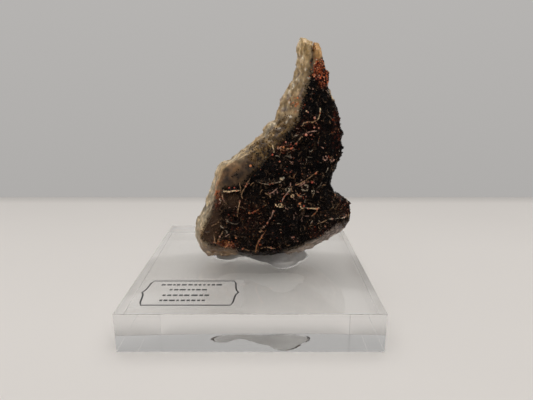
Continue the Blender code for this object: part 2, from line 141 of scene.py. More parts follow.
# Plates seen edge on: the x, z corners of the edge, how far it stands out of the crust, how
# wide it is, its colour, and how many beads sit on it
PLATES = [
    ([(-9.8, 39.6), (-7.8, 39.4), (-6.2, 39.7), (-4.5, 39.6)], 1.3, 0.62, CREAM, 2),
    ([(-4.3, 41.9), (-4.1, 40.5), (-3.9, 38.8)], 0.8, 0.30, TAN, 0),
    ([(-0.7, 44.0), (-2.2, 41.2), (-3.6, 38.4), (-3.2, 37.2)], 1.2, 0.28, TAN, 3),
    ([(-4.2, 36.6), (-4.9, 33.6), (-5.3, 30.9)], 1.0, 0.36, TAN, 2),
    ([(1.6, 42.9), (4.2, 42.3), (7.0, 42.7), (9.6, 43.1)], 1.3, 0.30, GREY, 3),
    ([(14.0, 41.3), (16.0, 42.5), (17.5, 43.2), (19.1, 44.7), (21.2, 45.9)], 1.4, 0.36, TAN, 3),
    ([(14.8, 40.8), (16.4, 41.6), (18.4, 42.6)], 1.0, 0.34, PINK, 1),
    ([(4.0, 39.0), (5.4, 38.3), (5.9, 37.3)], 0.9, 0.42, TAN, 0),
    ([(5.4, 38.6), (6.7, 39.5), (8.0, 40.5)], 0.9, 0.36, PINK, 0),
    ([(-1.3, 31.7), (-0.3, 32.3), (1.0, 33.0), (2.4, 33.8)], 1.0, 0.34, ORANGE, 3),
    ([(0.7, 17.9), (1.1, 20.8), (1.8, 22.6), (3.0, 24.5), (4.4, 26.2)], 1.2, 0.28, ORANGE, 2),
    ([(3.9, 27.6), (6.0, 30.6), (6.9, 32.9)], 0.9, 0.24, PINK, 3),
    ([(25.2, 30.1), (28.2, 30.5), (31.2, 30.9)], 1.0, 0.30, GREY, 1),
    ([(15.5, 35.6), (16.4, 34.2), (18.7, 34.1), (21.9, 33.8)], 1.2, 0.42, CREAM, 2),
    ([(19.5, 30.9), (20.8, 31.9), (21.7, 33.0)], 0.8, 0.30, TAN, 1),
    ([(18.9, 27.3), (20.9, 28.0), (22.9, 28.7), (24.9, 29.8)], 0.8, 0.28, TAN, 0),
    ([(15.6, 60.6), (16.4, 61.7), (17.6, 61.9), (19.2, 62.1), (20.3, 62.4)], 1.2, 0.40, TAN, 1),
    ([(20.5, 62.5), (20.9, 64.1), (21.3, 66.4)], 1.2, 0.42, CREAM, 1),
    ([(10.4, 53.6), (12.0, 53.6), (13.3, 54.3)], 0.9, 0.28, TAN, 3),
    ([(13.5, 54.9), (14.7, 56.4), (15.7, 57.9)], 1.0, 0.22, TAN, 1),
    ([(8.0, 54.2), (8.4, 52.9)], 0.8, 0.26, ORANGE, 1),
    ([(9.3, 53.9), (9.2, 52.7)], 0.8, 0.26, TAN, 1),
    ([(15.7, 57.9), (17.1, 58.5), (18.7, 58.9), (20.4, 58.9)], 0.9, 0.30, PINK, 0),
    ([(6.5, 54.4), (6.8, 53.1), (7.1, 51.9)], 0.9, 0.40, CREAM, 0),
    ([(8.4, 53.9), (8.9, 53.0), (10.5, 52.6)], 0.8, 0.30, ORANGE, 1),
    ([(-10.2, 38.0), (-9.6, 36.4), (-8.4, 34.9)], 0.9, 0.38, TAN, 1),
    ([(-8.6, 29.6), (-7.1, 28.7), (-5.1, 28.4)], 0.9, 0.34, GREY, 0),
    ([(-14.0, 27.3), (-12.8, 28.0), (-11.3, 29.1)], 0.5, 0.26, TAN, 0),
    ([(-13.2, 24.2), (-12.9, 22.6), (-12.7, 21.4)], 0.9, 0.34, TAN, 0),
    ([(-10.2, 25.5), (-11.3, 23.7), (-12.0, 22.3)], 0.9, 0.32, TAN, 1),
    ([(-7.9, 22.6), (-8.8, 20.8), (-9.5, 19.6)], 1.0, 0.36, ORANGE, 1),
    ([(7.4, 35.6), (8.5, 34.4), (10.2, 34.6)], 1.0, 0.46, CREAM, 1),
    ([(9.6, 35.4), (10.3, 37.0), (11.4, 38.6), (11.7, 39.8)], 0.9, 0.34, PINK, 1),
    ([(24.9, 47.2), (24.3, 45.5)], 0.7, 0.30, GREY, 0),
    ([(21.2, 39.8), (22.1, 41.2), (22.8, 42.2)], 0.8, 0.30, GREY, 0),
    ([(14.0, 39.6), (14.8, 38.0), (16.2, 37.4)], 0.8, 0.26, TAN, 1),
    ([(2.4, 19.4), (5.0, 19.9), (7.4, 19.2)], 0.8, 0.26, TAN, 1),
    ([(-3.6, 18.9), (-1.0, 18.3), (1.6, 18.2)], 0.7, 0.24, TAN, 1),
]

# Rosettes of small pale crystals round a dark middle: x, z, radius, colour
ROSETTES = [
    (9.4, 43.4, 0.55, GREY),
    (12.9, 44.7, 0.95, TAN),
    (17.3, 40.3, 1.15, GREY),
    (11.5, 40.0, 0.70, GREY),
    (23.6, 50.3, 0.75, PINK),
    (26.0, 49.6, 0.60, PINK),
    (16.3, 42.4, 0.80, PINK),
    (9.0, 35.2, 0.60, CREAM),
    (20.1, 38.8, 0.60, GREY),
    (2.6, 26.0, 0.45, TAN),
    (13.2, 37.6, 0.50, CREAM),
]

# Single beads: x, z, diameter, colour
BEADS = [
    (-0.7, 47.6, 1.0, BEAD_ORANGE),
    (9.4, 43.3, 1.1, CREAM),
    (10.2, 43.8, 0.8, GREY),
    (10.0, 54.0, 0.8, BEAD_ORANGE),
    (17.0, 58.1, 0.95, SALMON),
    (18.7, 58.0, 1.0, SALMON),
    (19.8, 63.2, 1.0, SALMON),
    (19.7, 60.2, 0.7, SALMON),
    (19.6, 42.2, 1.0, BEAD_RED),
    (4.2, 42.1, 0.95, BEAD_ORANGE),
    (2.7, 42.5, 0.6, BEAD_RED),
    (-5.8, 23.4, 0.8, BEAD_ORANGE),
    (-1.2, 32.0, 0.9, BEAD_ORANGE),
    (15.4, 35.7, 0.8, BEAD_ORANGE),
    (6.5, 51.3, 0.7, BEAD_RED),
    (12.9, 37.2, 0.7, SALMON),
    (-7.9, 40.1, 0.8, BEAD_RED),
    (-6.1, 40.3, 0.7, BEAD_RED),
    (10.8, 55.4, 0.7, SALMON),
    (16.9, 34.6, 0.7, BEAD_RED),
    (14.5, 69.2, 0.75, BEAD_ORANGE),
    (13.1, 67.7, 0.6, BEAD_ORANGE),
    (13.9, 66.6, 0.65, BEAD_ORANGE),
    (12.6, 66.4, 0.42, CREAM),
    (14.3, 67.8, 0.4, CREAM),
    (20.1, 80.9, 0.6, WHITE),
    (19.6, 79.6, 0.5, CREAM),
    (17.2, 65.2, 0.6, CREAM),
    (17.7, 64.9, 0.5, SALMON),
]


def clamped(value, low=0.0, high=1.0):
    return max(low, min(high, value))


def smooth(value):
    value = clamped(value)
    return value * value * (3 - 2 * value)


def rise(value, start, width):
    """0 up to start, then a soft step up to 1."""
    return smooth((value - start) / width)


def fall(value, end, width):
    """A soft step down from 1, and 0 from end on."""
    return smooth((end - value) / width)


def mixed(first, second, share):
    return tuple(a + (b - a) * share for a, b in zip(first, second))


def scaled(colour, factor):
    return tuple(c * factor for c in colour)


def covered(colour, *layers):
    """The colour under layers, each a tone and how much of it shows."""
    for tone, share in layers:
        colour = mixed(colour, tone, share)
    return colour


def wave(x, y, z, cell, seed=0.0):
    """Smooth noise from -1 to 1 whose lumps are about cell mm across."""
    return noise.noise(Vector((x + seed, y - seed, z + 2 * seed)) / cell)


def layered_wave(x, y, z, cell, seed=0.0, octaves=3):
    return noise.fractal(Vector((x + seed, y - seed, z + 2 * seed)) / cell, 1.0, 2.0, octaves)


def winding(x, y, z, cell, width, seed=0.0):
    """1 on thin winding lines about cell mm apart, 0 between them."""
    level = wave(x, y, z, cell, seed) + 0.4 * wave(x, y, z, cell * 0.43, seed + 9.0)
    return smooth(1 - abs(level) / width)


def flat_at(point, cell, seed=0.0):
    """The spot and the middle of its flat, for flats about cell mm across."""
    spot = Vector((point.x + seed, point.y - seed, point.z + seed)) / cell
    return spot, noise.voronoi(spot)[1][0]


def facets(point, cell, seed=0.0):
    """The height of tilted flats from -1 to 1, as on broken stone."""
    spot, middle = flat_at(point, cell, seed)
    tilt = noise.cell_vector(middle * 37.0) * 2 - Vector((1, 1, 1))
    return (spot - middle).dot(tilt)


def blob(x, z, centre_x, centre_z, reach_x, reach_z):
    """1 in the middle of an ellipse, 0 well outside it."""
    away = math.hypot((x - centre_x) / reach_x, (z - centre_z) / reach_z)
    return smooth(1.6 - away)


def strongest(spots, x, z):
    """The most that any of the spots gives at a place."""
    return max(strength * blob(x, z, *spot) for strength, *spot in spots)


def face_y(x, z):
    """The depth of the slab's plane face."""
    away = math.hypot(x - DISH_CENTRE[0], z - DISH_CENTRE[1]) / DISH_RADIUS
    return FACE_FOOT_Y + FACE_LEAN * (z - FACE_FOOT_Z) + DISH_DEPTH * math.exp(-away * away)


def surface_tree(mesh, unit=MM):
    """A tree of the mesh's faces for finding points on it, in mm unless unit is 1."""
    points = [v.co / unit for v in mesh.vertices]
    return BVHTree.FromPolygons(points, [p.vertices for p in mesh.polygons])


def linked(name, data):
    """A new object in the scene."""
    made = bpy.data.objects.new(name, data)
    bpy.context.scene.collection.objects.link(made)
    return made


def dressed(mesh, *materials):
    """The mesh with these materials and no others."""
    mesh.materials.clear()
    for material in materials:
        mesh.materials.append(material)
    return mesh


def piece(name, mesh, slot, *nodes):
    """A new visible piece that stands for the named CAD nodes."""
    made = linked(name, mesh)
    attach(made, BODY)
    if nodes:
        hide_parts(*nodes)
    return made


def node_mesh(node):
    """A copy of a CAD node's mesh in the row frame, with its split corners joined."""
    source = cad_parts[node]
    mesh = source.data.copy()
    mesh.transform(source.matrix_world)
    shape = bmesh.new()
    shape.from_mesh(mesh)
    bmesh.ops.remove_doubles(shape, verts=shape.verts, dist=1e-7)
    shape.to_mesh(mesh)
    shape.free()
    return mesh


def evaluated(mesh, kind, **settings):
    """The mesh after a modifier of this kind and with these settings."""
    helper = linked("helper", mesh)
    modifier = helper.modifiers.new(kind.lower(), kind)
    for key, value in settings.items():
        setattr(modifier, key, value)
    graph = bpy.context.evaluated_depsgraph_get()
    made = bpy.data.meshes.new_from_object(helper.evaluated_get(graph))
    bpy.data.objects.remove(helper, do_unlink=True)
    return made


def remeshed(node, voxel):
    """A CAD node's form on a fine even grid."""
    size = voxel * MM
    return evaluated(node_mesh(node), "REMESH", mode="VOXEL", voxel_size=size, use_smooth_shade=True)


def moved_points(mesh, shift):
    """Moves each point along its normal by shift(point, normal), both in mm."""
    normals = [v.normal.copy() for v in mesh.vertices]
    for vertex, normal in zip(mesh.vertices, normals):
        vertex.co += normal * shift(vertex.co / MM, normal) * MM
    mesh.update()


def painted(mesh, colours):
    """Stores a colour for each point as the attribute that materials read."""
    values = np.ones((len(mesh.vertices), 4), np.float32)
    values[:, :3] = colours
    paint = mesh.color_attributes.new("paint", "FLOAT_COLOR", "POINT")
    paint.data.foreach_set("color", values.ravel())


def fed(tree, node, inputs):
    """The node with its numbered or named inputs set or linked."""
    for key, value in inputs.items():
        if isinstance(value, bpy.types.NodeSocket):
            tree.links.new(value, node.inputs[key])
        else:
            node.inputs[key].default_value = value
    return node


def added(tree, kind, inputs=(), **settings):
    """A new shader node with its settings and its inputs."""
    made = tree.nodes.new("ShaderNode" + kind)
    for key, value in settings.items():
        setattr(made, key, value)
    return fed(tree, made, dict(inputs))


def material_with(name, sockets):
    made = bpy.data.materials.new(name)
    made.use_nodes = True
    tree = made.node_tree
    return made, tree, fed(tree, tree.nodes["Principled BSDF"], sockets)


def object_place(tree):
    return added(tree, "TexCoord").outputs["Object"]


def product(tree, first, second):
    return added(tree, "VectorMath", {0: first, 1: second}, operation="MULTIPLY").outputs[0]


def blended(tree, share, first, second):
    """The first colour where the share is 0, the second where it is 1."""
    return added(tree, "Mix", {0: share, 6: first, 7: second}, data_type="RGBA").outputs[2]


def ranged(tree, value, low, high):
    """A noise value spread over low to high."""
    return added(tree, "MapRange", {0: value, 1: 0.33, 2: 0.67, 3: low, 4: high}).outputs[0]


def noise_at(tree, place, size, detail=4.0):
    """Noise whose lumps are about size mm across."""
    inputs = {"Vector": place, "Scale": 1 / (size * MM), "Detail": detail}
    return added(tree, "TexNoise", inputs).outputs["Fac"]


def relief(tree, height, depth):
    """The normal of a surface with waves of a depth in mm."""
    made = added(tree, "Bump", {"Height": height, "Distance": depth * MM, "Strength": 1.0})
    return made.outputs["Normal"]


def stone_material(name, sockets, gloss, mottle, bump, streak=None):
    """The painted colour with noise over it. Gloss is the two ends of the roughness, mottle and
    bump are a size in mm and a strength, and streak is a stretch and a strength."""
    made, tree, shader = material_with(name, sockets)
    colour = added(tree, "Attribute", attribute_name="paint").outputs["Color"]
    place = object_place(tree)
    lumps, strength = mottle
    mottled = ranged(tree, noise_at(tree, place, lumps), 1 - strength, 1 + strength)
    colour = product(tree, colour, mottled)
    if streak:
        stretch, strength = streak
        bands = noise_at(tree, product(tree, place, stretch), 1.0, 3.0)
        colour = product(tree, colour, ranged(tree, bands, 1 - strength, 1 + strength))
    fine = noise_at(tree, place, bump[0], 5.0)
    normal, roughness = relief(tree, fine, bump[1]), ranged(tree, fine, *gloss)
    fed(tree, shader, {"Base Color": colour, "Roughness": roughness, "Normal": normal})
    return made


# The slab of quartz


def smooth_flank(point):
    """1 on the smoky, smooth swelling beside the crust's upper left edge."""
    return strongest(SMOKY_SPOTS, point.x, point.z) if point.y <= -1.0 else 0.0


def honey_flank(point):
    """1 on the olive brown stretch between the swelling and the spire."""
    return strongest(OLIVE_SPOTS, point.x, point.z) if point.y <= -1.5 else 0.0


def lobe_top(point):
    """1 on the upper side of the lobe at the right, which the crust covers far back."""
    x, y, z = point
    edge = 46.0 + 3.0 * wave(x, y, z, 3.5, 88.0) - 0.9 * max(0.0, y + 2.0)
    return float(x > 21) * fall(z, edge, 1.2) * float(z > 30)


def right_rim(point, normal):
    """1 where the crust has grown round onto the right side, fading towards the back."""
    x, y, z = point
    facing = max(normal.x, normal.z * lobe_top(point) * fall(normal.y, 0.5, 0.3))
    side = rise(facing, 0.15, 0.35) * fall(z, 82.5, 2)
    islands = 2.6 * wave(x, y, z, 6.0, 71.0) + 1.3 * wave(x, y, z, 1.6, 31.0)
    depth = -1.0 + islands + 9.0 * lobe_top(point)
    return side * smooth((depth - y) / 1.2 + 0.5) * rise(z, 24.5, 4.0)


def corner_bumps(point, normal):
    """How far the outline stands out at the lobe's corners and the lower left, in mm."""
    x, y, z = point
    corners = 0.3 * blob(x, z, 27.6, 38.4, 0.8, 0.8) + 1.2 * blob(x, z, 31.6, 35.3, 1.3, 1.0)
    corners *= fall(y, -2.0, 2.0)
    corners -= 0.6 * blob(x, z, 28.8, 36.0, 1.0, 1.0) * rise(y, -4.0, 3.0)
    return corners + 0.45 * blob(x, z, -17.5, 24.0, 3.5, 6.0) * smooth(-normal.x)


def tip_notch(point, normal):
    """How deep the groove between the two tips is, in mm."""
    x, y, z = point
    gap = (x - 19.1 - 0.15 * wave(0.0, y, z, 2.0, 8.0)) / 0.38
    depth = 1.2 * rise(z, 83.0, 1.5) + 0.55 * rise(z, 79.0, 2.0)
    # The left tip is broad and the right tip narrow, so both sides of the gap lie further right
    right = 0.9 * blob(x, z, 18.4, 84.8, 0.9, 1.2) * smooth(normal.x / 0.4)
    left = 0.5 * blob(x, z, 19.1, 84.8, 0.6, 1.2) * smooth(-normal.x / 0.4)
    return depth * math.exp(-gap * gap) - right + left


def matrix_shift(point, normal):
    smoothness = smooth_flank(point)
    x, y, z = point
    rough = rise(normal.y, -0.35, 0.5)
    broken = (0.34 + 0.06 * rough) * facets(point, 3.6) + 0.20 * facets(point, 1.7, 9.0)
    broken += rough * (0.55 * facets(point, 7.5, 20.0) + 0.5 * wave(x, y, z, 12.0, 14.0))
    layers = 0.10 * wave(x * 0.2, y * 1.6, z * 0.2, 1.0)
    grain = (0.16 - 0.07 * rough) * layered_wave(x, y, z, 1.3, 3.0)
    lumps = 0.42 * wave(x, y, z, 3.4, 30.0)
    lobes = 0.9 * honey_flank(point) * smooth(-normal.y / 0.4) * abs(wave(x, y, z, 2.3, 47.0))
    shape = (broken + layers + grain) * (1 - 0.85 * smoothness) + lumps * smoothness
    return shape + lobes + corner_bumps(point, normal) - tip_notch(point, normal)


def side_colour(x, y, z, stain, fine):
    """Grey tan quartz with pale and bluish layers, and golden towards the tip."""
    layer = wave(x * 0.25, y, z * 0.12, 1.1, 5.0)
    gold = mixed(QUARTZ_GOLD, QUARTZ_PALE, clamped(0.30 + 1.4 * fine))
    spire = rise(z, 60, 12) * (0.45 + 0.35 * rise(z, 76, 8))
    return covered(
        mixed(QUARTZ_GREY, QUARTZ_PALE, clamped(0.35 + 1.0 * layer + 0.5 * fine)),
        (QUARTZ_BLUE, 0.45 * smooth(0.1 + 1.6 * wave(x, y, z, 3.0, 44.0))),
        (QUARTZ_TAN, clamped(0.25 + 0.9 * stain + (z - 60) / 70)),
        (gold, clamped(spire + 0.3 * stain)),
    )


def back_colour(point, fine):
    """Broken massive quartz: wide pale, grey and tan zones, thin veins, and rust beside cracks."""
    x, y, z = point
    zone = smooth(0.5 + 1.2 * wave(x, y, z, 10.0, 15.0) + 0.25 * fine)
    zones = covered(
        mixed(scaled(QUARTZ_GREY, 0.85), scaled(QUARTZ_PALE, 0.85), zone),
        (QUARTZ_BLUE, 0.65 * smooth(2.0 * wave(x, y, z, 8.0, 34.0) - 0.1)),
        (QUARTZ_TAN, 0.6 * smooth(0.35 + 1.7 * wave(x, y, z, 13.0, 51.0))),
    )
    vein = winding(x, y, z, 12.0, 0.035, 17.0) * smooth(0.6 + 2.0 * wave(x, y, z, 9.0, 93.0))
    crack = winding(x, y, z, 9.0, 0.022, 66.0) * smooth(0.3 + 2.0 * wave(x, y, z, 7.0, 39.0))
    rust = smooth(3.0 * layered_wave(x, y, z, 9.0, 61.0, 5) - 0.7 + 0.3 * fine)
    dark = smooth(5.0 * layered_wave(x, y, z, 8.0, 83.0, 5) - 2.0)
    # Each broken flat has a brightness of its own
    bright = 0.80 + 0.34 * noise.cell(flat_at(point, 3.6)[1] * 53.0)
    return covered(
        scaled(zones, bright),
        (QUARTZ_PALE, 0.75 * vein),
        (SMOKY_DARK, 0.75 * crack),
        (mixed(IRON_ORANGE, QUARTZ_TAN, 0.5), 0.6 * rust),
        (CRUST_BROWN, 0.8 * dark),
    )


def front_colour(point, normal, colour, fine, front, away):
    """What the front shows round the crust: a smoky swelling, an olive flank, painted shade beside the
    crust and a dark foot.
    """
    x, y, z = point
    colour = scaled(mixed(colour, QUARTZ_TAN, 0.35 * front), 1 - 0.14 * front)
    olive = mixed(OLIVE_BROWN, OLIVE_PALE, smooth(0.15 + 1.6 * fine))
    smoky = covered(
        SMOKY_BROWN,
        (SMOKY_DARK, smooth(0.2 + 1.4 * wave(x, y, z, 3.0, 52.0))),
        (OLIVE_PALE, 0.5 * smooth(2.2 * fine - 0.6)),
        (SMOKY_DARK, 0.75 * blob(x, z, -1.6, 46.6, 2.6, 3.0)),
    )
    # Painted shade: the rock beside the crust is darkened to olive brown, standing for the crust's dark
    # edge seen through the translucent rock
    through = fall(away, 2.4, 2.2) * rise(x, -15.5, 3)
    shade = mixed(OLIVE_BROWN, OLIVE_DARK, smooth((1.3 - away) / 1.3 + 0.8 * fine))
    foot = front * fall(z, 38, 4) * rise(x, -16.4, 2) * fall(x, 2, 4)
    return covered(
        colour,
        (olive, fall(normal.y, 0.2, 0.4) * honey_flank(point)),
        (smoky, front * smooth_flank(point)),
        (shade, 0.9 * front * through),
        (SMOKY_DARK, 0.8 * foot),
    )


def foot_layers(point, normal, fine, away):
    """Brown, pink and gritty low on the right, smoky low on the left, and painted shade of a hollow
    above the glue.
    """
    x, y, z = point
    below = rise(-normal.z, 0.05, 0.4)
    right = rise(x, 4, 5) * fall(z, 34, 3)
    pink = mixed(CRUST_BROWN, QUARTZ_PINK, smooth((away - 0.5) / 3.2 + 0.3 * fine))
    left = max(below, 0.8 * rise(-normal.y, 0.2, 0.3)) * fall(x, 9, 6) * fall(z, 20.5, 2.5)
    # The crust reaches the lower edge in the middle; above the glue, painted shade stands for a dark
    # hollow
    low = rise(x, -7, 2) * fall(x, 12, 3) * fall(z, 19.8, 1.5) * fall(normal.y, 0.3, 0.3)
    low = max(low * fall(y, 2, 3), blob(x, z, 5.2, 16.0, 2.0, 1.4) * float(y < 0))
    grit = mixed(scaled(CRUST_BROWN, 1.6), QUARTZ_PINK, smooth(0.3 + 2.0 * fine))
    return [
        (pink, 0.85 * below * right),
        (scaled(SMOKY_BROWN, 0.9), 0.85 * left * smooth(0.9 - 0.5 * fine)),
        (mixed(CRUST_BLACK, CRUST_BROWN, clamped(0.3 + fine)), 0.92 * low),
        (grit, 0.85 * rise(x, 22, 4) * fall(z, 31, 3) * fall(y, 3, 3)),
    ]


def spire_layers(point, normal):
    """The spire's colour: tan, pink spots, painted shade in dark spots for its pits, painted glints in
    white spots, and a few rusty grains.
    """
    x, y, z = point
    spire = rise(z, 57, 6) * fall(z, 84, 4) * fall(normal.y, 0.6, 0.5)
    rusty = blob(x, z, 13.8, 67.5, 1.8, 2.2) * fall(normal.y, 0.2, 0.4)
    return [
        (scaled(QUARTZ_TAN, 0.75), 0.30 * spire),
        (QUARTZ_PINK, 0.7 * spire * smooth(5.0 * wave(x, y, z, 2.1, 101.0) - 1.2)),
        # painted shade: dark spots for the shade in the spire's pits
        (SMOKY_DARK, 0.6 * spire * smooth(7.0 * wave(x, y, z, 1.4, 121.0) - 2.4)),
        # painted highlight: white spots for glints on the spire's grains
        (WHITE, 0.85 * spire * smooth(8.0 * wave(x, y, z, 1.3, 111.0) - 3.0)),
        (IRON_ORANGE, 0.8 * rusty * smooth(6.0 * wave(x, y, z, 1.0, 131.0) - 0.9)),
    ]


def stain_and_groove_shade_layers(point, fine):
    """Iron on the left ridge, a brown lower left corner, the golden tip, and painted shade in the groove
    beside it.
    """
    x, y, z = point
    ridge = blob(x, z, -12.0, 38.0, 1.0, 3.6) * rise(-y, 3.2, 1.5)
    corner = blob(x, z, -17.3, 22.6, 1.5, 2.0) * rise(-y, 1.0, 2.0)
    tip = rise(x, 18.6, 0.6) * rise(z, 79.5, 2)
    groove = math.exp(-((x - 18.9) / 0.5) ** 2) * rise(z, 77.5, 2) * fall(z, 85.5, 1.5)
    return [
        (mixed(IRON_ORANGE, IRON_RED, 0.4), clamped(ridge * (0.45 + 1.8 * fine))),
        (SMOKY_BROWN, 0.75 * corner * smooth(0.8 + fine)),
        (mixed(QUARTZ_GOLD, IRON_ORANGE, 0.35), 0.8 * tip),
        # painted shade: the groove between the tips is darkened
        (OLIVE_DARK, 0.85 * groove),
    ]


def matrix_colour(point, normal, away):
    """The slab's colour at a point that lies away mm from the crust."""
    x, y, z = point
    fine = layered_wave(x, y, z * 0.55, 1.2, 21.0)
    colour = side_colour(x, y, z, layered_wave(x, y, z, 5.0, 12.0), fine)
    behind = rise(normal.y, 0.15, 0.4)
    if behind > 0:
        colour = mixed(colour, back_colour(point, fine), behind)
    front = rise(-normal.y, 0.35, 0.4) * rise(-y, 2.0, 2.0)
    if front > 0 or honey_flank(point) > 0:
        colour = front_colour(point, normal, colour, fine, front, away)
    # A tan line runs round the swelling, where the front turns into the side
    turn = smooth(1 - abs(-normal.y - 0.5) / 0.3) * blob(x, z, -8.5, 44.5, 7.5, 7.0) * rise(-y, 2.5, 1.5)
    crusted = mixed(CRUST_BLACK, CRUST_BROWN, clamped(0.25 + fine))
    crusted = mixed(crusted, TAN, 0.6 * blob(x, z, 24.4, 71.5, 1.4, 3.5) * smooth(0.5 + fine))
    colour = covered(
        colour,
        (QUARTZ_TAN, 0.75 * turn),
        *foot_layers(point, normal, fine, away),
        *spire_layers(point, normal),
        *stain_and_groove_shade_layers(point, fine),
        (crusted, right_rim(point, normal)),
    )
    bright = (1 + 0.2 * rise(z, 76, 6)) * (0.9 + (0.6 - 0.3 * behind) * fine)
    return scaled(colour, clamped(bright, 0.45, 1.4))


def build_matrix():
    mesh = remeshed("matrix", MATRIX_VOXEL)
    moved_points(mesh, matrix_shift)
    crust = surface_tree(node_mesh("descloizite_crust"))

    def colour_of(vertex):
        point = vertex.co / MM
        away = crust.find_nearest(point, FAR_FROM_CRUST)[3]
        return matrix_colour(point, vertex.normal, FAR_FROM_CRUST if away is None else away)

    painted(mesh, [colour_of(v) for v in mesh.vertices])
    sockets = {"IOR": 1.54, "Subsurface Weight": 0.2, "Subsurface Scale": 0.5 * MM}
    sockets["Subsurface Radius"] = (1.0, 0.7, 0.4)
    streak = ((0.5, 1.6, 0.35), 0.13)
    material = stone_material("quartz", sockets, (0.28, 0.6), (0.8, 0.24), (0.5, 0.12), streak)
    return piece("quartz_slab", dressed(mesh, material), "quartz_matrix", "matrix")


# The crust


def redness(x, z):
    """How much of the crust is red or orange at a place on the face, from 0 to 1."""
    return max(0.05, strongest(RED_SPOTS, x, z))


def brownness(x, z):
    """How much of the crust is brown and not black at a place, from 0 to 1."""
    return max(0.08, strongest(BROWN_SPOTS, x, z))


def paleness(x, z):
    """How pale the rims are at a place, most of all in the middle of the right half."""
    return max(0.15, strongest(PALE_SPOTS, x, z)) * (0.35 + 0.65 * rise(z, 17.0, 2.5))


def seam(x, y, z):
    """1 on the thin winding rims that cross the crust, broken here and there."""
    broken = smooth(0.75 + 2.2 * wave(x, y, z, 2.6, 40.0))
    coarse = winding(x, y * 0.4, z, 2.9, 0.11, 3.0)
    fine = 0.7 * winding(x, y * 0.4, z, 1.7, 0.11, 60.0)
    return max(coarse, fine) * broken


def left_foot(x, z):
    """1 on the left of the crust, where it is thin, smooth and brown."""
    return strongest(THIN_SPOTS, x, z)


def crust_shift(point, normal):
    x, y, z = point
    hollow = 0.62 * wave(x, y * 0.5, z, 2.5, 7.0) + 0.18 * wave(x, y, z, 0.9, 19.0)
    rough = 1 - 0.7 * left_foot(x, z)
    height = min(hollow, 0.25) - 0.25 + 0.45 * seam(x, y, z) * smooth(-normal.y / 0.5)
    return height * rough + corner_bumps(point, normal)


def crust_colour(point):
    x, y, z = point
    fine = layered_wave(x, y, z, 0.8, 17.0)
    rim = seam(x, y, z) * smooth(0.4 + 1.6 * wave(x, y, z, 1.4, 90.0))
    rim *= 0.12 + 0.6 * max(brownness(x, z), paleness(x, z))
    brown = max(brownness(x, z), 1.6 * left_foot(x, z))
    return covered(
        mixed(CRUST_BLACK, CRUST_BROWN, clamped(0.55 * brown + 0.5 * fine - 0.2)),
        (scaled(CRUST_BROWN, 1.3), 0.8 * left_foot(x, z)),
        (scaled(TAN, 0.3), rim),
        (CRUST_RED, clamped(redness(x, z) * (0.8 + 2.0 * fine) - 0.06)),
    )


def build_crust():
    mesh = remeshed("descloizite_crust", CRUST_VOXEL)
    moved_points(mesh, crust_shift)
    painted(mesh, [crust_colour(v.co / MM) for v in mesh.vertices])
    sockets = {"IOR": 1.5, "Specular IOR Level": 0.08}
    material = stone_material("crust", sockets, (0.4, 0.7), (0.4, 0.4), (0.25, 0.12))
    return piece("crust_base", dressed(mesh, material), "descloizite", "descloizite_crust")


OCTAHEDRON = (
    [(1, 0, 0), (-1, 0, 0), (0, 1, 0), (0, -1, 0), (0, 0, 1), (0, 0, -1)],
    [(0, 2, 4), (2, 1, 4), (1, 3, 4), (3, 0, 4), (2, 0, 5), (1, 2, 5), (3, 1, 5), (0, 3, 5)],
)


def rounded(shape):
    """The shape with each triangle split in four and its points pushed onto a sphere."""
    points = [Vector(p) for p in shape[0]]
    faces, middles = [], {}

    def between(a, b):
        key = (min(a, b), max(a, b))
        if key not in middles:
            middles[key] = len(points)
            points.append((points[a] + points[b]).normalized())
        return middles[key]

    for a, b, c in shape[1]:
        ab, bc, ca = between(a, b), between(b, c), between(c, a)
        faces += [(a, ab, ca), (ab, b, bc), (ca, bc, c), (ab, bc, ca)]
    return [tuple(p) for p in points], faces


def crystals_mesh(name, shape, rows):
    """One mesh of many copies of a shape. A row is (middle, axis, size, stretch, colour)."""
    unit = np.array(shape[0])
    count, size = len(rows), len(unit)
    axes, middles = np.empty((count, 3, 3)), np.empty((count, 3))
    for i, (middle, axis, width, stretch, _) in enumerate(rows):
        side = axis.orthogonal().normalized() * width / 2
        axes[i] = side, axis.cross(side), axis * width * stretch / 2
        middles[i] = middle
    points = np.einsum("vk,nkc->nvc", unit, axes) + middles[:, None]
    faces = (np.array(shape[1])[None] + np.arange(count)[:, None, None] * size).reshape(-1, 3)
    mesh = bpy.data.meshes.new(name)
    mesh.from_pydata((points.reshape(-1, 3) * MM).tolist(), [], faces.tolist())
    painted(mesh, np.repeat([row[-1] for row in rows], size, axis=0))
    return mesh


def shaken(dice, amount):
    """A random step of up to amount along each axis."""
    return Vector([dice.uniform(-1, 1) for _ in range(3)]) * amount


def tilted(normal, dice, amount):
    return (normal + shaken(dice, amount)).normalized()


def surface_spots(mesh, spacing, seed, share_at):
    """Random (point, normal) spots in mm, about spacing apart where the share is 1."""
    dice = random.Random(seed)
    spots = []
    for polygon in mesh.polygons:
        middle = polygon.center / MM
        share = share_at(middle, polygon.normal)
        if share <= 0:
            continue
        expected = share * polygon.area / (MM * MM) / (spacing * spacing)
        count = int(expected) + (dice.random() < expected - int(expected))
        corners = [mesh.vertices[i].co / MM for i in polygon.vertices]
        for _ in range(count):
            u, v = dice.random(), dice.random()
            point = corners[0].lerp(corners[1], u).lerp(corners[-1].lerp(corners[-2], u), v)
            spots.append((point, polygon.normal.copy()))
    return spots


def bead_colour(dice):
    tone = dice.choice((BEAD_RED, SALMON, PINK))
    tone = mixed(tone, BEAD_ORANGE, 0.6 * dice.random())
    return scaled(tone, dice.uniform(0.45, 1.1))


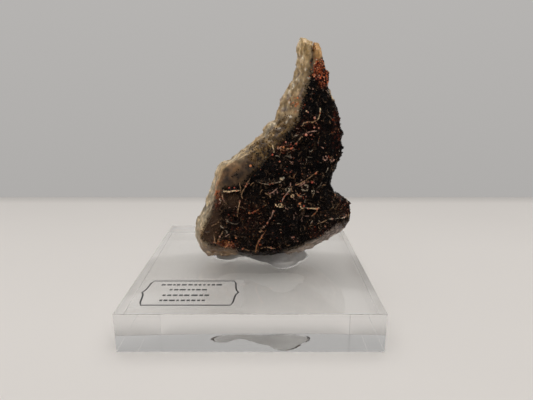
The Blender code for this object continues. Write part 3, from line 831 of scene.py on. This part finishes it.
def red_colour(x, z, dice):
    """Red at the top and the right edge, and orange low on the left."""
    deep = mixed(IRON_RED, bead_colour(dice), dice.random() ** 1.5)
    rusty = mixed(IRON_ORANGE, ORANGE, dice.random())
    low = max(fall(z, 30, 5) * fall(x, 8, 5), 0.2 * rise(z, 70, 4))
    bright = 0.35 + 0.9 * dice.random() ** 2 + 1.5 * rise(z, 70, 4) * dice.random()
    return scaled(mixed(deep, rusty, low), bright)


def crystal_colour(point, dice):
    """The colour of one small crystal of the crust."""
    x, y, z = point
    red, brown, light = redness(x, z), brownness(x, z), paleness(x, z)
    if dice.random() < 0.9 * red * red + 0.12 * red:
        return red_colour(x, z, dice)
    rim = 0.8 * seam(x, y, z) * smooth(0.4 + 1.8 * wave(x, y, z, 1.7, 90.0))
    if dice.random() < rim * clamped(0.15 + 1.2 * max(light, 0.7 * brown)):
        tone = dice.choice((TAN, TAN, PINK, GREY))
        return mixed(CRUST_BROWN, tone, dice.random() ** 2 * (0.35 + 0.5 * light))
    draw = dice.random()
    thin = left_foot(x, z)
    if draw < 0.04 + 0.4 * brown + 0.9 * thin:
        dark, tan = scaled(CRUST_BROWN, 0.4 + 0.8 * thin), scaled(TAN, 0.4)
        return mixed(dark, tan, dice.random() ** 3)
    # painted highlight: about one crystal in eighty is pale, standing for glints on the dark crust
    if draw > 0.988:
        return scaled(dice.choice((GREY, TAN, PINK)), dice.uniform(0.15, 0.8))
    return scaled(CRUST_BLACK, dice.uniform(0.4, 3.0))


def rim_share(point, normal, crust):
    """How thickly the slab is covered with the crust's crystals at a point."""
    x, y, z = point
    if normal.y > 0.75 or z < 14.5:
        return 0.0
    away = crust.find_nearest(point)[3]
    beside = fall(away, 1.5, 1.0) * fall(z, 82.5, 1.5)
    beside *= 1 - rise(z, 77, 2) * fall(x, 19.6, 0.8)
    low = rise(x, -7, 2) * fall(x, 12, 3) * fall(away, 3.2, 1.0)
    beside = max(beside, low * float(z < 20 and y < 0))
    return max(right_rim(point, normal), beside if normal.y < 0.2 else 0.0)


def olive_colour(_, dice):
    return scaled(mixed(OLIVE_BROWN, OLIVE_PALE, dice.random() ** 2), dice.uniform(0.4, 1.2))


def build_druse(crust, slab):
    """Thousands of small crystals over the crust's front and on the rock round its edge."""
    near_crust = surface_tree(crust.data)

    def on_crust(point, normal):
        return 1 - 0.8 * left_foot(point.x, point.z) if normal.y < 0.35 else 0.0

    def on_rim(point, normal):
        return rim_share(point, normal, near_crust)

    def on_flank(point, normal):
        return honey_flank(point) * rise(-normal.y, 0.2, 0.4)

    kinds = (
        (crust, CRUST_SPACING, 22, on_crust, CRYSTAL_SIZES, crystal_colour),
        (slab, RIM_SPACING, 23, on_rim, CRYSTAL_SIZES, crystal_colour),
        (slab, OLIVE_SPACING, 24, on_flank, OLIVE_SIZES, olive_colour),
    )
    dice = random.Random(21)
    rows = []
    for ground, spacing, seed, share_at, sizes, colour_of in kinds:
        for point, normal in surface_spots(ground.data, spacing, seed, share_at):
            size = dice.uniform(*sizes) * (1.4 if dice.random() < 0.1 else 1.0)
            axis = tilted(normal, dice, 0.8)
            rows.append((point, axis, size, dice.uniform(0.8, 1.7), colour_of(point, dice)))
    sockets = {"IOR": 1.5, "Specular IOR Level": 0.12}
    material = stone_material("druse", sockets, (0.2, 0.45), (0.4, 0.25), (0.2, 0.03))
    half = len(rows) // 2
    for name, part in (("druse_a", rows[:half]), ("druse_b", rows[half:])):
        piece(name, dressed(crystals_mesh(name, OCTAHEDRON, part), material), "descloizite")


def broken_path(corners, step, wobble, seed):
    """Points about step apart on slightly shaky straight runs between the x, z corners."""
    line = [Vector((x, 0, z)) for x, z in corners]
    path = []
    for start, end in zip(line, line[1:]):
        count = max(1, round((end - start).length / step))
        path += [start.lerp(end, k / count) for k in range(count)]
    path.append(line[-1])
    for point in path:
        x, z = point.x, point.z
        point.x += wobble * (wave(x, seed, z, 1.3, 5.0) + 0.5 * wave(x, seed, z, 0.45, 15.0))
        point.z += wobble * (wave(x, seed, z, 1.3, 25.0) + 0.5 * wave(x, seed, z, 0.45, 35.0))
    return path


def plate_section(top, half, light, dark):
    """Heights, offsets and colours round a cut through a plate, which is bright at its rim."""
    return (
        (-PLATE_ROOT, -half, dark),
        (top - 0.35, -half, dark),
        (top - 0.08, -half * 0.8, light),
        (top, 0.0, light),
        (top - 0.08, half * 0.8, light),
        (top - 0.35, half, dark),
        (-PLATE_ROOT, half, dark),
    )


class Plates:
    """Collects thin plates that stand edge on in the crust, with crystals and beads on them."""

    def __init__(self, seed, *grounds):
        self.dice = random.Random(seed)
        self.points, self.faces, self.colours = [], [], []
        self.crystals, self.beads = [], []
        self.trees = [surface_tree(ground.data) for ground in grounds]

    def surface(self, x, z):
        """How far back the first surface lies that is seen from the front."""
        hits = [tree.ray_cast(Vector((x, -40, z)), Vector((0, 1, 0)))[0] for tree in self.trees]
        return min((hit.y for hit in hits if hit), default=face_y(x, z))

    def add(self, path, reach, width, tone, lean):
        """One plate along the path. Returns the points of its rim."""
        start, rim, dice = len(self.points), [], self.dice
        depths = [self.surface(p.x, p.z) for p in path]
        floor = sum(depths) / len(depths)
        unrest = clamped(1.35 - 1.6 * width)
        for k, point in enumerate(path):
            before, after = path[max(k - 1, 0)], path[min(k + 1, len(path) - 1)]
            along = (after - before).normalized()
            across = Vector((-along.z, 0, along.x))
            out = (TO_VIEWER + across * lean).normalized()
            share = k / (len(path) - 1)
            end = smooth(0.35 + 6 * min(share, 1 - share))
            root = Vector((point.x, 0.5 * (depths[k] + floor), point.z))
            ripple = unrest * wave(point.x, point.z, reach, 0.9, 77.0)
            glow = smooth(0.75 + 0.6 * width + 2.2 * ripple)
            top = reach * end * dice.uniform(0.8, 1.15) * (0.55 + 0.45 * glow)
            half = width * (0.9 + unrest * dice.uniform(-0.5, 0.5)) * (0.4 + 0.6 * end) / 2
            light = scaled(mixed(CRUST_BROWN, tone, glow), dice.uniform(0.7, 1.45))
            section = plate_section(top, half, light, scaled(CRUST_BROWN, dice.uniform(0.3, 0.9)))
            for height, offset, colour in section:
                self.points.append(root + out * height + across * offset)
                self.colours.append(colour)
            rim.append((root + out * top, out, light))
        self.close(start, len(path), len(section))
        return rim

    def close(self, start, cuts, size):
        """Adds the faces between a plate's cuts, and its two ends."""
        for k in range(cuts - 1):
            a, b = start + k * size, start + (k + 1) * size
            for i in range(size):
                j = (i + 1) % size
                self.faces.append((a + i, a + j, b + j, b + i))
        self.faces.append(tuple(start + i for i in reversed(range(size))))
        self.faces.append(tuple(start + (cuts - 1) * size + i for i in range(size)))

    def mesh(self, name):
        made = bpy.data.meshes.new(name)
        made.from_pydata([p * MM for p in self.points], [], self.faces)
        painted(made, self.colours)
        return made


def add_long_plates(plates):
    """The plates that show clearly, with small crystals and beads along their rims."""
    dice = plates.dice
    for seed, (corners, reach, width, tone, bead_count) in enumerate(PLATES):
        path = broken_path(corners, PLATE_STEP, 0.26 - 0.3 * width, seed * 3.1)
        rim = plates.add(path, reach, width, tone, dice.uniform(-0.25, 0.25))
        for point, out, light in rim:
            if dice.random() < 0.75:
                place = point + shaken(dice, 0.18) - out * 0.1
                pale = dice.random() < 0.65 + 0.5 * width
                colour = light if pale else scaled(CRUST_BROWN, 0.8)
                size = dice.uniform(0.18, 0.42)
                plates.crystals.append((place, tilted(out, dice, 0.8), size, 1.2, colour))
        for _ in range(bead_count):
            point, out, _ = dice.choice(rim)
            plates.beads.append((point, out, dice.uniform(0.5, 0.8), 1.0, bead_colour(dice)))


def add_rosettes(plates):
    """Rings of small pale crystals."""
    dice = plates.dice
    for x, z, radius, tone in ROSETTES:
        middle = Vector((x, plates.surface(x, z) - 0.35, z))
        for _ in range(int(radius * 30)):
            turn = dice.uniform(0, 2 * math.pi)
            away = radius * dice.uniform(0.72, 1.12)
            back = dice.uniform(-0.2, 0.35)
            aside = Vector((math.cos(turn) * away, back, math.sin(turn) * away))
            colour = scaled(tone, dice.uniform(0.5, 1.6))
            axis = tilted(TO_VIEWER, dice, 0.8)
            plates.crystals.append((middle + aside, axis, dice.uniform(0.3, 0.6), 1.2, colour))


def small_corners(x, z, dice):
    """The x, z corners of a short bent edge through a place."""
    turn = dice.uniform(0, 2 * math.pi)
    bend = dice.uniform(-0.6, 0.6)
    half = dice.uniform(0.3, 1.0)
    ends = [(turn + bend * share, share * half) for share in (-1, 0, 1)]
    return [(x + away * math.cos(angle), z + away * math.sin(angle)) for angle, away in ends]


def add_small_plates(plates, crust):
    """Short plates scattered over the crust, most where it is pale, brown or red."""
    dice = plates.dice

    def share_at(point, normal):
        x, _, z = point
        busy = max(paleness(x, z), 0.8 * brownness(x, z), 0.7 * redness(x, z))
        return (normal.y < -0.5) * (0.25 + 1.5 * busy)

    for (x, _, z), _ in surface_spots(crust.data, SMALL_PLATE_SPACING, 31, share_at):
        path = broken_path(small_corners(x, z, dice), 0.3, 0.12, x)
        draw = dice.random()
        tone = mixed(scaled(CRUST_BROWN, 0.5), scaled(TAN, 0.45), dice.random() ** 2)
        pale = 0.05 + 0.6 * paleness(x, z)
        if draw < pale:
            tone = dice.choice((TAN, GREY, PINK))
            tone = scaled(tone, dice.uniform(0.35, 1.2))
        elif draw < pale + 0.5 * redness(x, z):
            tone = red_colour(x, z, dice)
        reach, width = dice.uniform(0.35, 0.9), dice.uniform(0.14, 0.28)
        plates.add(path, reach, width, tone, dice.uniform(-0.6, 0.6))


def add_small_beads(plates, crust):
    """Beads scattered over the crust, most where it is red."""
    dice = plates.dice

    def share_at(point, normal):
        red, light = redness(point.x, point.z), paleness(point.x, point.z)
        return (normal.y < 0) * (0.15 + 1.5 * red + 0.5 * light)

    for point, normal in surface_spots(crust.data, SMALL_BEAD_SPACING, 33, share_at):
        size = 0.26 + 0.42 * dice.random() ** 2
        plates.beads.append((point + normal * 0.15, normal, size, 1.0, bead_colour(dice)))


def build_plates(crust, slab):
    """Pale edged plates standing out of the crust, with the crystals and beads on them."""
    plates = Plates(5, crust, slab)
    add_long_plates(plates)
    add_rosettes(plates)
    for x, z, size, tone in BEADS:
        middle = Vector((x, plates.surface(x, z) - 0.25 * size, z))
        plates.beads.append((middle, tilted(TO_VIEWER, plates.dice, 0.3), size, 1.0, tone))
    add_small_plates(plates, crust)
    add_small_beads(plates, crust)
    sockets = {"IOR": 1.5, "Specular IOR Level": 0.3}
    material = stone_material("plate", sockets, (0.35, 0.6), (0.6, 0.25), (0.3, 0.05))
    rims = crystals_mesh("rim", OCTAHEDRON, plates.crystals)
    piece("wulfenite_casts", dressed(plates.mesh("plates"), material), "descloizite")
    piece("rim_crystals", dressed(rims, material), "descloizite")
    sockets = {"IOR": 1.6, "Subsurface Weight": 0.15, "Subsurface Scale": 0.3 * MM}
    material = stone_material("bead", sockets, (0.15, 0.35), (0.5, 0.2), (0.3, 0.03))
    mesh = crystals_mesh("beads", rounded(OCTAHEDRON), plates.beads)
    mesh.shade_smooth()
    piece("red_crystals", dressed(mesh, material), "descloizite")


# The block, the glue and the label

BLOCK_TOP = round(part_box("acrylic_block")[1][2] / MM, 3)
BLOCK_BEVEL = 0.05
# The gel's foot sinks into the block, and points within reach of the rock go into it
GEL_SINK = 0.5
GEL_REACH = 0.75
GEL_OVERLAP = 0.25
# The painted light patch, a near white sheet under the glue, lies this far above the block's top
CONTACT_LIFT = 0.08
CONTACT_THICKNESS = 0.04
# The print lies on the film, 0.1 mm right of its middle
PRINT_CENTRE = (-18.7, -25.9)
PRINT_FOOT = round(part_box("label")[1][2] / MM, 3) + 0.01
INK_HEIGHT = 0.03
LINE_WIDTH = 0.5
BORDER_QUARTER = [(0.0, 7.7), (12.9, 7.7), (13.5, 6.0), (13.75, 3.0), (14.0, 1.4), (14.7, 0.0)]
RULE_WIDTH = 0.85
# Rows of dashes in place of words: left end, right end and distance up from the middle
RULES = [(-9.9, 9.4, 5.0), (-6.6, 5.2, 1.7), (-8.0, 6.0, -1.8), (-8.2, 5.4, -4.9)]


def clear_material(name, tint, gloss, wear, ripple):
    """Clear plastic or gel. Gloss is the two ends of the roughness, which varies over wear
    mm, and ripple is the size and the depth in mm of its waves."""
    sockets = {"IOR": 1.49, "Transmission Weight": 1.0, "Base Color": (*tint, 1.0)}
    made, tree, shader = material_with(name, sockets)
    place = object_place(tree)
    normal = relief(tree, noise_at(tree, place, ripple[0], 1.0), ripple[1])
    roughness = ranged(tree, noise_at(tree, place, wear), *gloss)
    fed(tree, shader, {"Roughness": roughness, "Normal": normal})
    return made


def mesh_from(shape, name):
    made = bpy.data.meshes.new(name)
    shape.to_mesh(made)
    shape.free()
    return made


def frost_material():
    made, tree, shader = material_with("frost", {"Roughness": 0.6, "Specular IOR Level": 0.2})
    cloud = noise_at(tree, object_place(tree), 3.5, 3.0)
    # painted light: near white and mostly opaque, so the patch reads bright
    tone = blended(tree, cloud, (0.93, 0.93, 0.92, 1), (0.99, 0.99, 0.98, 1))
    fed(tree, shader, {"Base Color": tone, "Alpha": ranged(tree, cloud, 0.8, 1.0)})
    return made


def build_light_patch(gel):
    """Painted light: a near white sheet under the glue on the block's top, standing for light that the
    glue lets into the block.
    """
    shape = bmesh.new()
    shape.from_mesh(gel)
    floor = (BLOCK_TOP - GEL_SINK) * MM
    upper = [f for f in shape.faces if max(v.co.z for v in f.verts) > floor + 1e-6]
    bmesh.ops.delete(shape, geom=upper, context="FACES")
    middle = sum((v.co for v in shape.verts), Vector()) / len(shape.verts)
    for vertex in shape.verts:
        x, y, _ = vertex.co / MM
        reach = 0.93 + 0.05 * wave(x, y, 0.0, 2.0, 28.0)
        vertex.co = middle + (vertex.co - middle) * reach
        vertex.co.z = (BLOCK_TOP + CONTACT_LIFT) * MM
    bmesh.ops.solidify(shape, geom=shape.faces[:], thickness=CONTACT_THICKNESS * MM)
    piece("glue_light_patch", dressed(mesh_from(shape, "contact"), frost_material()), "glue")


def gel_shift(point, normal):
    """Small lumps where the gel was squeezed out, most of all in the middle."""
    x, y, z = point
    strength = 0.06 + 0.50 * blob(x, z, 1.5, 13.5, 3.5, 3.5) * float(y < 0)
    return strength * layered_wave(x, y, z, 1.2, 46.0) * rise(z, BLOCK_TOP, 0.8)


def block_mesh():
    """The block with its edges just broken."""
    low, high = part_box("acrylic_block")
    shape = bmesh.new()
    bmesh.ops.create_cube(shape, size=1.0)
    for vertex in shape.verts:
        vertex.co = [(a + b) / 2 + c * (b - a) for a, b, c in zip(low, high, vertex.co)]
    edges, offset = shape.edges[:], BLOCK_BEVEL * MM
    bmesh.ops.bevel(shape, geom=edges, offset=offset, segments=1, affect="EDGES")
    return mesh_from(shape, "block")


def gel_mesh():
    """The glue, stretched down into the block and up to the rock."""
    gel = node_mesh("glue")
    rock = surface_tree(node_mesh("matrix"), 1.0)
    lowest = min(v.co.z for v in gel.vertices)
    for vertex in gel.vertices:
        if vertex.co.z < lowest + 0.05 * MM:
            vertex.co.z = (BLOCK_TOP - GEL_SINK) * MM
            continue
        near, _, _, away = rock.find_nearest(vertex.co)
        if away < GEL_REACH * MM:
            vertex.co += (near - vertex.co).normalized() * (away + GEL_OVERLAP * MM)
    return gel


def build_block():
    """The block with the glue set onto it, so that light passes from one to the other."""
    acrylic = clear_material("acrylic", (0.995, 1.0, 1.0), (0.0, 0.003), 9.0, (14.0, 0.004))
    glue = clear_material("glue", (0.93, 0.92, 0.91), (0.0, 0.04), 2.0, (1.8, 0.06))
    block = dressed(block_mesh(), acrylic, glue)
    gel = dressed(gel_mesh(), acrylic, glue)
    build_light_patch(gel)
    gel = evaluated(gel, "SUBSURF", levels=2, render_levels=2)
    moved_points(gel, gel_shift)
    for polygon in gel.polygons:
        polygon.material_index = 1
    tool = linked("gel", gel)
    joined = evaluated(block, "BOOLEAN", operation="UNION", object=tool, solver="EXACT")
    bpy.data.objects.remove(tool, do_unlink=True)
    for polygon in joined.polygons:
        polygon.use_smooth = polygon.material_index == 1
    piece("block_and_glue", joined, "acrylic", "acrylic_block", "glue")


def ribbon(points, faces, line, width, low, high):
    """Adds a flat ribbon along a line of x, y points, closed if its ends are equal."""
    closed = (Vector(line[0]) - Vector(line[-1])).length < 1e-6
    if closed:
        line = line[:-1]
    start, count = len(points), len(line)
    for i, here in enumerate(line):
        before = Vector(line[(i - 1) % count] if closed or i else here)
        after = Vector(line[(i + 1) % count] if closed or i < count - 1 else here)
        run = (after - before).normalized()
        side = Vector((-run.y, run.x)) * width / 2
        for x, y in (Vector(here) + side, Vector(here) - side):
            points += [(x, y, low), (x, y, high)]
    for i in range(count if closed else count - 1):
        a, b = start + 4 * i, start + 4 * ((i + 1) % count)
        faces += [(a + 1, b + 1, b + 3, a + 3), (a, a + 2, b + 2, b)]
        faces += [(a, b, b + 1, a + 1), (a + 2, a + 3, b + 3, b + 2)]
    if not closed:
        end = start + 4 * (count - 1)
        faces += [(start, start + 1, start + 3, start + 2), (end, end + 2, end + 3, end + 1)]


def border_line():
    """The border's closed line, a half rounded bracket mirrored to all four corners."""
    line = list(BORDER_QUARTER)
    line += [(x, -y) for x, y in reversed(BORDER_QUARTER[:-1])]
    line += [(-x, -y) for x, y in BORDER_QUARTER[1:]]
    line += [(-x, y) for x, y in reversed(BORDER_QUARTER[1:-1])]
    cx, cy = PRINT_CENTRE
    line = [(cx + x, cy + y) for x, y in line]
    return line + [line[0]]


def film_material():
    sockets = {"IOR": 1.45, "Alpha": 0.05, "Base Color": (0.86, 0.85, 0.83, 1.0)}
    made, tree, shader = material_with("label_film", sockets)
    fed(tree, shader, {"Roughness": ranged(tree, noise_at(tree, object_place(tree), 2.5), 0.25, 0.5)})
    return made


def ink_material():
    made, tree, shader = material_with("ink", {"Roughness": 0.5})
    inputs = {"Vector": object_place(tree), "Scale": 2500.0}
    grain = added(tree, "TexNoise", inputs).outputs["Fac"]
    tone = blended(tree, grain, (0.02, 0.02, 0.022, 1), (0.05, 0.05, 0.052, 1))
    fed(tree, shader, {"Base Color": tone})
    return made


def build_label():
    """The CAD's clear film, with a printed border and dashes on it."""
    dressed(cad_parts["label"].data, film_material())
    points, faces = [], []
    low, high = PRINT_FOOT, PRINT_FOOT + INK_HEIGHT
    ribbon(points, faces, border_line(), LINE_WIDTH, low, high)
    dice = random.Random(12)
    cx, cy = PRINT_CENTRE
    for left, right, up in RULES:
        while left < right:
            length = dice.uniform(0.7, 1.9)
            dash = [(cx + left, cy + up), (cx + min(left + length, right), cy + up)]
            ribbon(points, faces, dash, RULE_WIDTH, low, high)
            left += length + dice.uniform(0.35, 0.6)
    mesh = bpy.data.meshes.new("print")
    mesh.from_pydata([Vector(p) * MM for p in points], [], faces)
    piece("label_print", dressed(mesh, ink_material()), "label_film")


# The studio: a white table that ends behind the block, and light that depends on its height

TABLE_DEPTH = 133.5
TABLE_WIDTH = 420.0
TABLE_DROP = 0.12
TABLE_WHITE = (0.745, 0.722, 0.698)
# Pairs of the depth in mm and the table's brightness: painted shade that darkens the table towards the
# back
TABLE_PAINTED_SHADE = [(-25.0, 1.0), (40.0, 0.965), (118.0, 0.875), (133.0, 0.66)]
WARM_WHITE = (1.0, 0.975, 0.95)
# Pairs of the sine of the height above the horizon and the brightness
BACK_LIGHT = [
    (-1.0, 0.42), (-0.26, 0.44), (0.17, 0.50), (0.375, 0.52), (0.385, 0.09), (0.446, 0.09),
    (0.456, 0.52), (0.525, 0.50), (0.545, 0.43), (0.65, 0.43), (0.80, 0.55), (0.87, 1.85),
    (1.0, 1.85),
]
FRONT_LIGHT = [(-1.0, 0.3), (0.0, 0.30), (0.5, 0.30), (0.68, 0.40), (0.78, 1.85), (1.0, 1.85)]
WALL_LIGHT = [(-1.0, 0.41), (-0.26, 0.425), (0.17, 0.465), (1.0, 0.50)]
# The front's light gives way to the back's between these y parts of a direction
LIGHT_TURN = (-0.75, 0.25)

# The camera that the photo's view of the block was solved to
CAMERA_PLACE = (4.54, -141.4, 73.0)
DEGREES_DOWN = 15.282
FOCAL_PIXELS = 418.29
PHOTO_WIDTH = 533.0
SENSOR_WIDTH = 36.0


def brightness_ramp(tree, place, stops, tint):
    """A ramp along place from 0 to 1, whose stops are pairs of -1 to 1 and a brightness."""
    ramp = added(tree, "ValToRGB", {0: place})
    points = ramp.color_ramp.elements
    while len(points) < len(stops):
        points.new(0.5)
    for point, (level, brightness) in zip(points, stops):
        point.position = (level + 1) / 2
        point.color = (*scaled(tint, brightness), 1.0)
    return ramp.outputs[0]


def build_table():
    """The white table, with painted shade that darkens it towards the back."""
    mesh = bpy.data.meshes.new("table")
    wide, deep = TABLE_WIDTH, TABLE_DEPTH
    corners = [(-wide, -deep), (wide, -deep), (wide, deep), (-wide, deep)]
    mesh.from_pydata([Vector((x, y, -TABLE_DROP)) * MM for x, y in corners], [], [(0, 1, 2, 3)])
    made, tree, shader = material_with("table", {"Roughness": 0.6, "Specular IOR Level": 0.2})
    place = object_place(tree)
    soft = noise_at(tree, place, 60.0, 1.0)
    tone = blended(tree, soft, (*TABLE_WHITE, 1), (*scaled(TABLE_WHITE, 0.97), 1))
    depth = added(tree, "SeparateXYZ", {0: place}).outputs["Y"]
    share = added(tree, "MapRange", {0: depth, 1: -deep * MM, 2: deep * MM}).outputs[0]
    stops = [(y / deep, level) for y, level in TABLE_PAINTED_SHADE]
    # painted shade: the table's colour darkens towards the back
    painted_shade = brightness_ramp(tree, share, stops, (1.0, 1.0, 1.0))
    fed(tree, shader, {"Base Color": product(tree, tone, painted_shade)})
    linked("table", dressed(mesh, made))


def light_ramp(tree, height, stops):
    """Brightness by the sine of the height above the horizon."""
    place = added(tree, "MapRange", {0: height, 1: -1.0, 2: 1.0}).outputs[0]
    return brightness_ramp(tree, place, stops, WARM_WHITE)


def build_room():
    """Bright above, grey walls, a dark gap between, and dim on the viewer's side."""
    world = bpy.data.worlds.new("room")
    world.use_nodes = True
    tree = world.node_tree
    way = added(tree, "TexCoord").outputs["Generated"]
    parts = added(tree, "SeparateXYZ", {0: way}).outputs
    back = light_ramp(tree, parts["Z"], BACK_LIGHT)
    front = light_ramp(tree, parts["Z"], FRONT_LIGHT)
    start, end = LIGHT_TURN
    share = added(tree, "MapRange", {0: parts["Y"], 1: start, 2: end}).outputs[0]
    light = blended(tree, share, front, back)
    seen = added(tree, "LightPath").outputs["Is Camera Ray"]
    shown = blended(tree, seen, light, light_ramp(tree, parts["Z"], WALL_LIGHT))
    fed(tree, tree.nodes["Background"], {"Color": shown})
    bpy.context.scene.world = world


def build_camera():
    data = bpy.data.cameras.new("camera")
    data.sensor_width = SENSOR_WIDTH
    data.lens = SENSOR_WIDTH * FOCAL_PIXELS / PHOTO_WIDTH
    data.clip_start = 0.005
    data.clip_end = 10.0
    camera = linked("camera", data)
    camera.location = Vector(CAMERA_PLACE) * MM
    camera.rotation_euler = (math.radians(90 - DEGREES_DOWN), 0, 0)
    bpy.context.scene.camera = camera


def main():
    slab = build_matrix()
    crust = build_crust()
    build_druse(crust, slab)
    build_plates(crust, slab)
    build_block()
    build_label()
    build_table()
    build_room()
    build_camera()
    bpy.context.scene.view_settings.view_transform = "Standard"
    bpy.context.scene.cycles.blur_glossy = 0.0


main()
